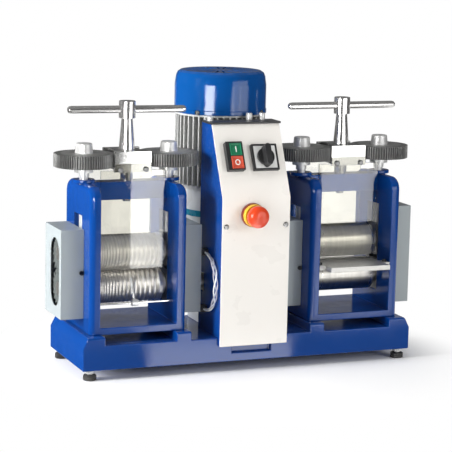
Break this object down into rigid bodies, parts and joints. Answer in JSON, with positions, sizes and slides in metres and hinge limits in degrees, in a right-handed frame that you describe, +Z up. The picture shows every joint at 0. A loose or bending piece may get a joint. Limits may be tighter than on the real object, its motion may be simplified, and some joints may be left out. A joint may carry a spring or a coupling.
{
  "type": "motorised double rolling mill",
  "caption": "Bench rolling mill: a vertical geared motor and control console between a grooved wire stand and a plain sheet stand.",
  "frame": {"origin": "on the bench under the roll axes, midway between the two stands", "axes": "+X along the rolls towards the plain stand, +Y to the back, +Z up"},
  "size_m": [0.719, 0.328, 0.553],
  "materials": {
    "blue_cast": "glossy blue machine enamel over a casting",
    "blue_sheet": "glossy blue machine enamel on sheet steel",
    "cream_panel": "cream powder coat, fine texture",
    "dark_lid": "satin black paint",
    "grey_cover": "light grey enamel",
    "wire_roll": "ground and plated steel",
    "plain_roll": "fine ground hardened steel",
    "handle_chrome": "polished chrome",
    "screw_steel": "turned steel",
    "gear_dark": "phosphated dark steel",
    "gear_cast": "machined cast iron, grey green",
    "block_iron": "machined cast iron",
    "guard_white": "white enamel",
    "clear_shield": "clear polycarbonate sheet",
    "foot_rubber": "black rubber",
    "black_plastic": "fine textured black",
    "green_key": "green key",
    "red_key": "red key",
    "dial_white": "white dial",
    "stop_yellow": "yellow collar on a dark red base",
    "stop_red": "red mushroom head",
    "column_grey": "light grey enamel",
    "band_teal": "teal enamel",
    "motor_alloy": "cast aluminium fins",
    "cowl_blue": "glossy blue enamel on pressed steel",
    "fan_plastic": "moulded black plastic",
    "table_steel": "ground steel",
    "black_screw": "black oxide steel",
    "conduit_grey": "grey flexible conduit"
  },
  "bodies": {
    "machine": {"plinth": "blue_cast", "feet": "foot_rubber", "lower_chocks": "block_iron", "console_walls": "blue_sheet", "console_panel": "cream_panel", "console_lid": "dark_lid", "switch_box": "black_plastic", "selector_box": "black_plastic", "selector_dial": "dial_white", "stop_collar": "stop_yellow", "gearbox": "column_grey", "column": "column_grey", "column_band": "band_teal", "motor": "motor_alloy", "cowl": "cowl_blue", "stock_table": "table_steel", "guide_rod": "handle_chrome", "conduit": "conduit_grey", "conduit_glands": "black_plastic", "pan_screws": "screw_steel", "socket_screws": "black_screw", "left_stand": "blue_cast", "left_guard": "guard_white", "left_shields": "clear_shield", "left_inner_cover": "grey_cover", "left_outer_cover": "grey_cover", "right_stand": "blue_cast", "right_guard": "guard_white", "right_shields": "clear_shield", "right_inner_cover": "grey_cover", "right_outer_cover": "grey_cover"},
    "left_lower_roll_shaft": {"left_lower_roll": "wire_roll", "left_lower_gear": "gear_cast"},
    "left_upper_carriage": {"left_upper_chocks": "block_iron"},
    "left_upper_roll_shaft": {"left_upper_roll": "wire_roll", "left_upper_gear": "gear_cast"},
    "left_inner_pressure_screw": {"left_inner_screw": "screw_steel", "left_inner_screw_gear": "gear_dark"},
    "left_outer_pressure_screw": {"left_outer_screw": "screw_steel", "left_outer_screw_gear": "gear_dark"},
    "left_cross_handle": {"left_spindle": "handle_chrome", "left_bar": "handle_chrome"},
    "right_lower_roll_shaft": {"right_lower_roll": "plain_roll", "right_lower_gear": "gear_cast"},
    "right_upper_carriage": {"right_upper_chocks": "block_iron"},
    "right_upper_roll_shaft": {"right_upper_roll": "plain_roll", "right_upper_gear": "gear_cast"},
    "right_inner_pressure_screw": {"right_inner_screw": "screw_steel", "right_inner_screw_gear": "gear_dark"},
    "right_outer_pressure_screw": {"right_outer_screw": "screw_steel", "right_outer_screw_gear": "gear_dark"},
    "right_cross_handle": {"right_spindle": "handle_chrome", "right_bar": "handle_chrome"},
    "start_button": {"start_key": "green_key"},
    "stop_key_body": {"stop_key": "red_key"},
    "selector": {"selector_knob": "black_plastic"},
    "emergency_stop": {"stop_button": "stop_red"},
    "wire_guide_slider": {"wire_guide": "screw_steel"},
    "fan_rotor": {"motor_fan": "fan_plastic"}
  },
  "joints": [
    {"name": "left_handle_turn", "type": "hinge", "parent": "machine", "child": "left_cross_handle", "pos_m": [-0.22, 0, 0.4895], "axis": [0, 0, 1], "range_deg": [-87, 1580.8]},
    {"name": "left_roll_lift", "type": "slide", "parent": "machine", "child": "left_upper_carriage", "axis": [0, 0, 1], "range_m": [-0.0003, 0.0057]},
    {"name": "left_inner_screw_turn", "type": "hinge", "parent": "left_upper_carriage", "child": "left_inner_pressure_screw", "pos_m": [-0.13675, 0, 0.397], "axis": [0, 0, 1], "range_deg": [-822.8, 45.2]},
    {"name": "left_outer_screw_turn", "type": "hinge", "parent": "left_upper_carriage", "child": "left_outer_pressure_screw", "pos_m": [-0.30325, 0, 0.397], "axis": [0, 0, 1], "range_deg": [-822.8, 45.2]},
    {"name": "left_lower_roll_turn", "type": "hinge", "parent": "machine", "child": "left_lower_roll_shaft", "pos_m": [-0.22, 0, 0.157], "axis": [1, 0, 0], "continuous": true},
    {"name": "left_upper_roll_turn", "type": "hinge", "parent": "left_upper_carriage", "child": "left_upper_roll_shaft", "pos_m": [-0.22, 0, 0.2224], "axis": [1, 0, 0], "continuous": true},
    {"name": "right_handle_turn", "type": "hinge", "parent": "machine", "child": "right_cross_handle", "pos_m": [0.22, 0, 0.4895], "axis": [0, 0, 1], "range_deg": [-474.3, 1193.5]},
    {"name": "right_roll_lift", "type": "slide", "parent": "machine", "child": "right_upper_carriage", "axis": [0, 0, 1], "range_m": [-0.0017, 0.0043]},
    {"name": "right_inner_screw_turn", "type": "hinge", "parent": "right_upper_carriage", "child": "right_inner_pressure_screw", "pos_m": [0.13675, 0, 0.397], "axis": [0, 0, 1], "range_deg": [-621.2, 246.8]},
    {"name": "right_outer_screw_turn", "type": "hinge", "parent": "right_upper_carriage", "child": "right_outer_pressure_screw", "pos_m": [0.30325, 0, 0.397], "axis": [0, 0, 1], "range_deg": [-621.2, 246.8]},
    {"name": "right_lower_roll_turn", "type": "hinge", "parent": "machine", "child": "right_lower_roll_shaft", "pos_m": [0.22, 0, 0.157], "axis": [1, 0, 0], "continuous": true},
    {"name": "right_upper_roll_turn", "type": "hinge", "parent": "right_upper_carriage", "child": "right_upper_roll_shaft", "pos_m": [0.22, 0, 0.224], "axis": [1, 0, 0], "continuous": true},
    {"name": "motor_turn", "type": "hinge", "parent": "machine", "child": "fan_rotor", "pos_m": [0, 0.088, 0.5], "axis": [0, 0, 1], "continuous": true},
    {"name": "start_press", "type": "slide", "parent": "machine", "child": "start_button", "axis": [0, 0.9014, -0.433], "range_m": [0, 0.003], "stiffness_N_per_m": 400},
    {"name": "stop_press", "type": "slide", "parent": "machine", "child": "stop_key_body", "axis": [0, 0.9014, -0.433], "range_m": [0, 0.003], "stiffness_N_per_m": 400},
    {"name": "selector_turn", "type": "hinge", "parent": "machine", "child": "selector", "pos_m": [0.0262, -0.08826, 0.40658], "axis": [0, -0.9014, 0.433], "range_deg": [-45, 45]},
    {"name": "emergency_press", "type": "slide", "parent": "machine", "child": "emergency_stop", "axis": [0, 1, 0], "range_m": [0, 0.003]},
    {"name": "wire_guide_slide", "type": "slide", "parent": "machine", "child": "wire_guide_slider", "axis": [1, 0, 0], "range_m": [-0.055, 0.055]}
  ],
  "couplings": [
    {"joint": "left_handle_turn", "follows": "left_roll_lift", "rad_per_m": 4828.1},
    {"joint": "left_inner_screw_turn", "follows": "left_roll_lift", "rad_per_m": -2513.3},
    {"joint": "left_outer_screw_turn", "follows": "left_roll_lift", "rad_per_m": -2513.3},
    {"joint": "right_handle_turn", "follows": "right_roll_lift", "rad_per_m": 4828.1},
    {"joint": "right_inner_screw_turn", "follows": "right_roll_lift", "rad_per_m": -2513.3},
    {"joint": "right_outer_screw_turn", "follows": "right_roll_lift", "rad_per_m": -2513.3},
    {"joint": "right_lower_roll_turn", "follows": "left_lower_roll_turn", "ratio": 1},
    {"joint": "left_upper_roll_turn", "follows": "left_lower_roll_turn", "ratio": -1},
    {"joint": "right_upper_roll_turn", "follows": "left_lower_roll_turn", "ratio": -1},
    {"joint": "motor_turn", "follows": "left_lower_roll_turn", "ratio": 30}
  ]
}
